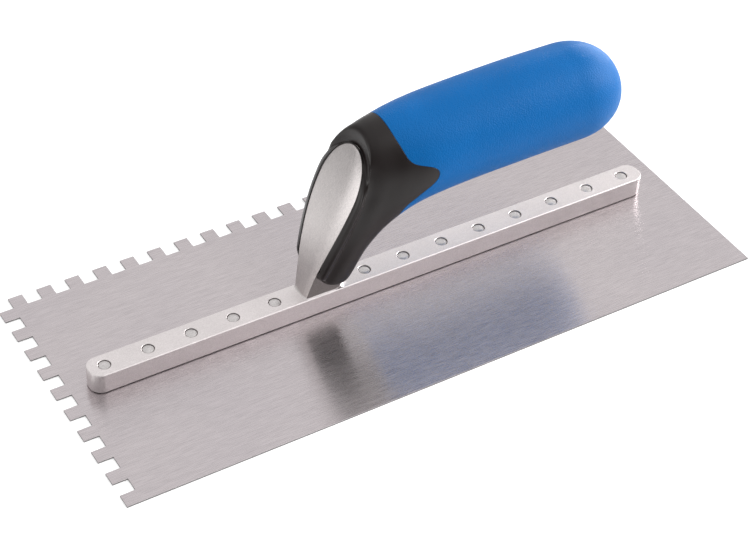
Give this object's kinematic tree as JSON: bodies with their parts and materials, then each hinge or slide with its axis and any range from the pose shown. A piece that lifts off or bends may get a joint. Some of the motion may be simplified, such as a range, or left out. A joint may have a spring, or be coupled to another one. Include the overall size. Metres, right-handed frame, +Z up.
{
  "type": "notched trowel",
  "caption": "Hand trowel for spreading tile adhesive: a thin steel blade with square notches on one end and one long edge, riveted under a cast bar with a soft grip.",
  "frame": {"origin": "under the middle of the blade, in the plane of its underside", "axes": "+X along the blade towards its plain short end and the rear of the grip, +Y towards the notched long edge, +Z up from the blade to the grip"},
  "size_m": [0.28, 0.12, 0.0862],
  "materials": {
    "blade": "brushed lengthwise",
    "casting": "satin",
    "rivets": "satin",
    "collar": "soft matt",
    "grip": "soft satin",
    "core": "moulded"
  },
  "bodies": {
    "root": {"blade": "blade", "backbone_casting": "casting", "rivet_01": "rivets", "rivet_02": "rivets", "rivet_03": "rivets", "rivet_04": "rivets", "rivet_05": "rivets", "rivet_06": "rivets", "rivet_07": "rivets", "rivet_08": "rivets", "rivet_09": "rivets", "rivet_10": "rivets", "rivet_11": "rivets", "rivet_12": "rivets", "rivet_13": "rivets", "soft_collar": "collar", "grip": "grip", "grip_core": "core"}
  },
  "joints": []
}
